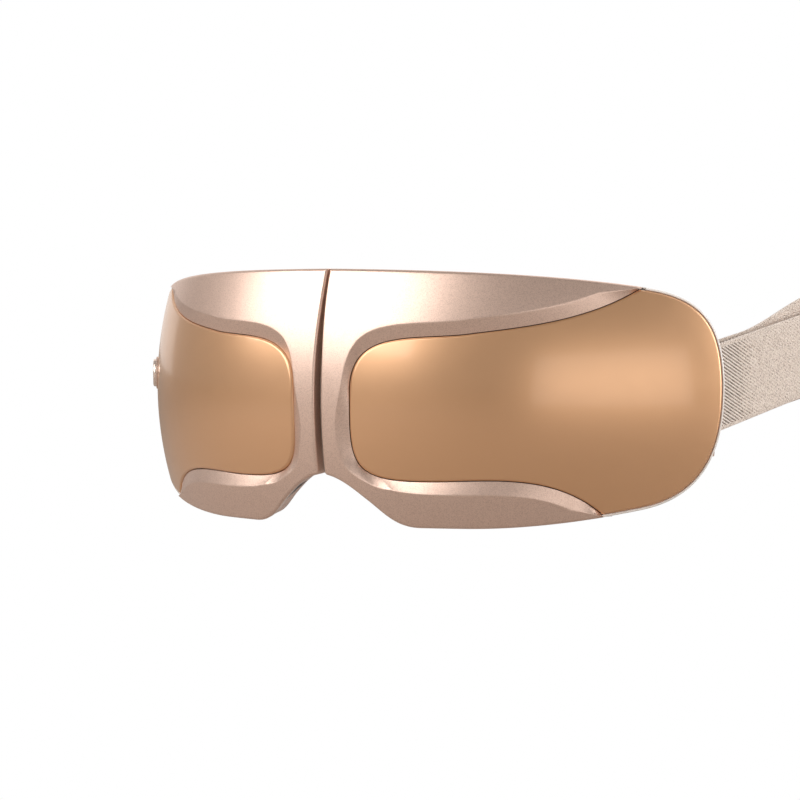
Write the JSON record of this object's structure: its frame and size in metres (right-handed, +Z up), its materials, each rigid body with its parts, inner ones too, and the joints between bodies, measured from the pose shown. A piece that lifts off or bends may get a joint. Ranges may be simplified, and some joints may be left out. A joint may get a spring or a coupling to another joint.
{
  "type": "eye massager mask",
  "caption": "Foldable wraparound eye massager: two curved halves hinged at the nose bridge, tinted lenses, soft face cushions, and an adjustable elastic head strap.",
  "frame": {"origin": "where the mask meets the wearer's face, on the midline between the eyes, at half of the mask's height", "axes": "+X towards the wearer's left ear (the picture's right), +Y from the lenses towards the face, +Z up"},
  "size_m": [0.21, 0.2308, 0.0784],
  "materials": {
    "frame_metal": "fine metallic sparkle, satin",
    "lens_tint": "tinted half-mirror, polished",
    "edge_trim": "polished edge",
    "inner_plastic": "moulded",
    "housing_shell": "satin paint",
    "rear_shell": "fine texture",
    "cushion": "soft synthetic leather",
    "eye_fabric": "fine knit",
    "heating_film": "film with printed track",
    "airbag_film": "clear film",
    "white_plastic": "moulded",
    "steel": "plain",
    "hose_rubber": "silicone",
    "weight_metal": "sintered",
    "hinge_steel": "brushed",
    "button_metal": "polished rose gold",
    "circuit_board": "solder mask",
    "battery_wrap": "wrapped cell",
    "strap_webbing": "ribbed elastic webbing",
    "buckle_metal": "satin rose gold"
  },
  "bodies": {
    "right_half": {"front_frame_right": "frame_metal", "lens_right": "lens_tint", "edge_trim_right": "edge_trim", "lens_carrier_right": "inner_plastic", "housing_right": "housing_shell", "rear_cover_right": "rear_shell", "face_cushion_right": "cushion", "eye_pad_right": "eye_fabric", "heating_film_right": "heating_film", "airbag_right": "airbag_film", "air_pump_right": "white_plastic", "pump_motor_right": "steel", "air_valve_right": "inner_plastic", "air_hose_right": "hose_rubber", "vibration_motor_right": "steel", "speaker_right": "inner_plastic", "hinge_leaf_right": "hinge_steel", "strap_anchor_right": "housing_shell", "strap_bar_right": "button_metal", "cover_screws_right": "steel", "hinge_pin": "hinge_steel", "main_board": "circuit_board", "charge_socket": "steel"},
    "left_half": {"front_frame_left": "frame_metal", "lens_left": "lens_tint", "edge_trim_left": "edge_trim", "lens_carrier_left": "inner_plastic", "housing_left": "housing_shell", "rear_cover_left": "rear_shell", "face_cushion_left": "cushion", "eye_pad_left": "eye_fabric", "heating_film_left": "heating_film", "airbag_left": "airbag_film", "air_pump_left": "white_plastic", "pump_motor_left": "steel", "air_valve_left": "inner_plastic", "air_hose_left": "hose_rubber", "vibration_motor_left": "steel", "speaker_left": "inner_plastic", "hinge_leaf_left": "hinge_steel", "strap_anchor_left": "housing_shell", "strap_bar_left": "button_metal", "cover_screws_left": "steel", "battery": "battery_wrap", "tact_switch": "inner_plastic", "button_ring": "frame_metal"},
    "power_button": {"power_button": "button_metal"},
    "motor_rotor_right": {"motor_shaft_right": "steel", "motor_weight_right": "weight_metal"},
    "motor_rotor_left": {"motor_shaft_left": "steel", "motor_weight_left": "weight_metal"},
    "strap_right": {"strap_right": "strap_webbing"},
    "strap_left": {"strap_left": "strap_webbing"},
    "strap_slider": {"strap_slider": "buckle_metal", "strap_return": "strap_webbing"}
  },
  "joints": [
    {"name": "fold", "type": "hinge", "parent": "right_half", "child": "left_half", "pos_m": [0, -0.016, 0.0064], "axis": [0, 0, -1], "range_deg": [0, 100]},
    {"name": "button_press", "type": "slide", "parent": "left_half", "child": "power_button", "axis": [0.8192, 0.5736, 0], "range_m": [0, 0.0007], "stiffness_N_per_m": 1200, "springref_m": -0.0003},
    {"name": "rotor_right_spin", "type": "hinge", "parent": "right_half", "child": "motor_rotor_right", "pos_m": [0.0384, -0.01104, -0.0271], "axis": [0.9272, 0.3746, 0], "continuous": true},
    {"name": "rotor_left_spin", "type": "hinge", "parent": "left_half", "child": "motor_rotor_left", "pos_m": [-0.0384, -0.01104, -0.0271], "axis": [-0.9272, 0.3746, 0], "continuous": true},
    {"name": "strap_right_swing", "type": "hinge", "parent": "right_half", "child": "strap_right", "pos_m": [0.0882, 0.0412, -0.0003], "axis": [0, 0, -1], "range_deg": [0, 76]},
    {"name": "strap_left_swing", "type": "hinge", "parent": "left_half", "child": "strap_left", "pos_m": [-0.0882, 0.0412, -0.0003], "axis": [0, 0, 1], "range_deg": [0, 76]},
    {"name": "slider_slide", "type": "slide", "parent": "strap_right", "child": "strap_slider", "axis": [0.0041, -0.9916, -0.1289], "range_m": [0, 0.045], "deforming": ["strap_return"]}
  ],
  "couplings": [
    {"joint": "strap_right_swing", "follows": "fold", "ratio": 0.75832},
    {"joint": "strap_left_swing", "follows": "fold", "ratio": 0.75832}
  ]
}
